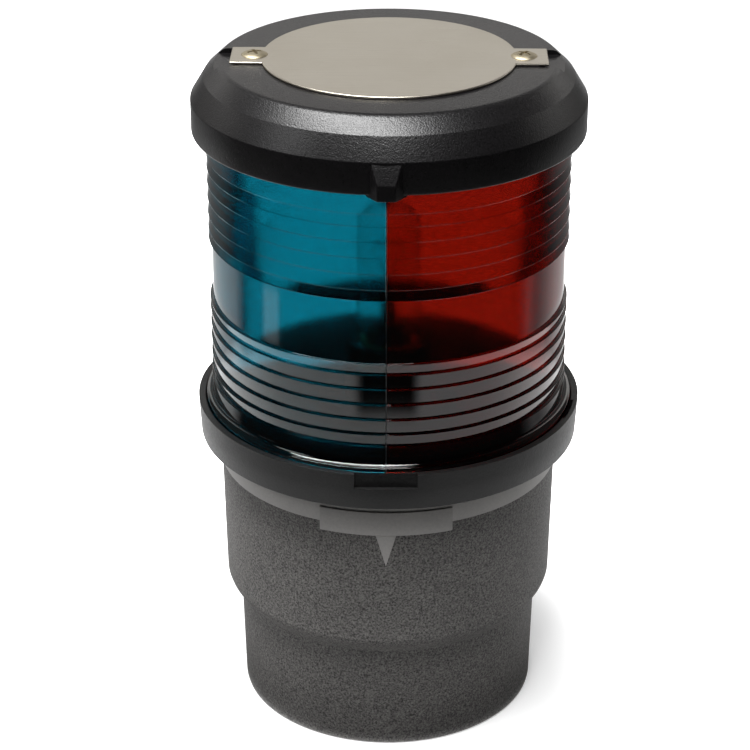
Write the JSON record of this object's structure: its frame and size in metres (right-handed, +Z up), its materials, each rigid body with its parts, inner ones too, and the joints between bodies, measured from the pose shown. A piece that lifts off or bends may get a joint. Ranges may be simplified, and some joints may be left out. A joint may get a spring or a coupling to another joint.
{
  "type": "navigation light",
  "caption": "Marine navigation light: stepped socket base, twist-off head with ribbed green, red and clear drum lens sectors round a bayonet bulb, bevelled cap with screwed steel plate.",
  "frame": {"origin": "centre of the base's flat underside, on the light's vertical axis", "axes": "+Z up along the light's axis, -Y towards the bow (the seam between the green and red lenses), green lens on -X (starboard), red lens on +X (port)"},
  "size_m": [0.1048, 0.1068, 0.1885],
  "materials": {
    "textured_plastic": "fine spark-eroded grain",
    "black_plastic": "fine grain, satin",
    "insulator_plastic": "satin moulding",
    "green_lens": "clear transparent green-tinted polycarbonate, polished",
    "red_lens": "transparent red polycarbonate, polished",
    "clear_lens": "clear polycarbonate, polished",
    "clear_glass": "thin clear glass",
    "rubber": "matt",
    "brushed_steel": "fine straight brushing",
    "plated_screw": "bright passivated",
    "brass": "bright machined",
    "nickel": "nickel plating",
    "spring_steel": "drawn wire and tin",
    "tungsten": "drawn wire",
    "red_wire": "PVC insulation",
    "black_wire": "PVC insulation"
  },
  "bodies": {
    "base": {"base_housing": "textured_plastic", "cable_gland_body": "black_plastic", "cable_gland_seal": "rubber", "cable_gland_nut": "black_plastic", "contact_carrier": "insulator_plastic", "carrier_screw_1": "plated_screw", "carrier_screw_2": "plated_screw", "carrier_screw_3": "plated_screw", "contact_barrel_positive": "brass", "contact_spring_positive": "spring_steel", "contact_strip_positive": "brass", "terminal_positive": "brass", "terminal_screw_positive": "plated_screw", "contact_barrel_negative": "brass", "contact_spring_negative": "spring_steel", "contact_strip_negative": "brass", "terminal_negative": "brass", "terminal_screw_negative": "plated_screw"},
    "plunger_positive": {"contact_plunger_positive": "nickel"},
    "plunger_negative": {"contact_plunger_negative": "nickel"},
    "head": {"lamp_base": "black_plastic", "head_seal": "rubber", "head_underplate": "insulator_plastic", "underplate_screw_1": "plated_screw", "underplate_screw_2": "plated_screw", "underplate_screw_3": "plated_screw", "head_contact_centre": "nickel", "head_contact_ring": "nickel", "lead_positive": "red_wire", "lead_negative": "black_wire", "bulb_holder_body": "black_plastic", "holder_screw_1": "plated_screw", "holder_screw_2": "plated_screw", "bulb_holder_shell": "nickel", "holder_insulator": "insulator_plastic", "lamp_spring_1": "spring_steel", "lamp_spring_2": "spring_steel", "lens_green": "green_lens", "lens_red": "red_lens", "lens_clear": "clear_lens", "lens_gasket_lower": "rubber", "lens_gasket_upper": "rubber", "cap": "black_plastic", "name_plate": "brushed_steel", "plate_screw_left": "plated_screw", "plate_screw_right": "plated_screw"},
    "lamp_plunger_1": {"lamp_plunger_1": "brass"},
    "lamp_plunger_2": {"lamp_plunger_2": "brass"},
    "bulb": {"bulb_cap": "brass", "bulb_insulator": "black_plastic", "bulb_contact_1": "spring_steel", "bulb_contact_2": "spring_steel", "bulb_glass": "clear_glass", "bulb_stem": "clear_glass", "bulb_filament": "tungsten"}
  },
  "joints": [
    {"name": "head_twist", "type": "hinge", "parent": "base", "child": "head", "pos_m": [0, 0, 0.08], "axis": [0, 0, 1], "range_deg": [0, 30]},
    {"name": "contact_plunger_positive_press", "type": "slide", "parent": "base", "child": "plunger_positive", "axis": [0, 0, -1], "range_m": [0, 0.0022], "stiffness_N_per_m": 200, "springref_m": -0.003, "deforming": ["contact_spring_positive"]},
    {"name": "contact_plunger_negative_press", "type": "slide", "parent": "base", "child": "plunger_negative", "axis": [0, 0, -1], "range_m": [0, 0.0022], "stiffness_N_per_m": 200, "springref_m": -0.003, "deforming": ["contact_spring_negative"]},
    {"name": "bulb_press", "type": "slide", "parent": "head", "child": "bulb", "axis": [0, 0, -1], "range_m": [0, 0.0016], "stiffness_N_per_m": 600, "springref_m": -0.002},
    {"name": "lamp_plunger_1_press", "type": "slide", "parent": "head", "child": "lamp_plunger_1", "axis": [0, 0, -1], "range_m": [0, 0.002], "deforming": ["lamp_spring_1"]},
    {"name": "lamp_plunger_2_press", "type": "slide", "parent": "head", "child": "lamp_plunger_2", "axis": [0, 0, -1], "range_m": [0, 0.002], "deforming": ["lamp_spring_2"]}
  ],
  "couplings": [
    {"joint": "lamp_plunger_1_press", "follows": "bulb_press", "ratio": 1},
    {"joint": "lamp_plunger_2_press", "follows": "bulb_press", "ratio": 1}
  ]
}
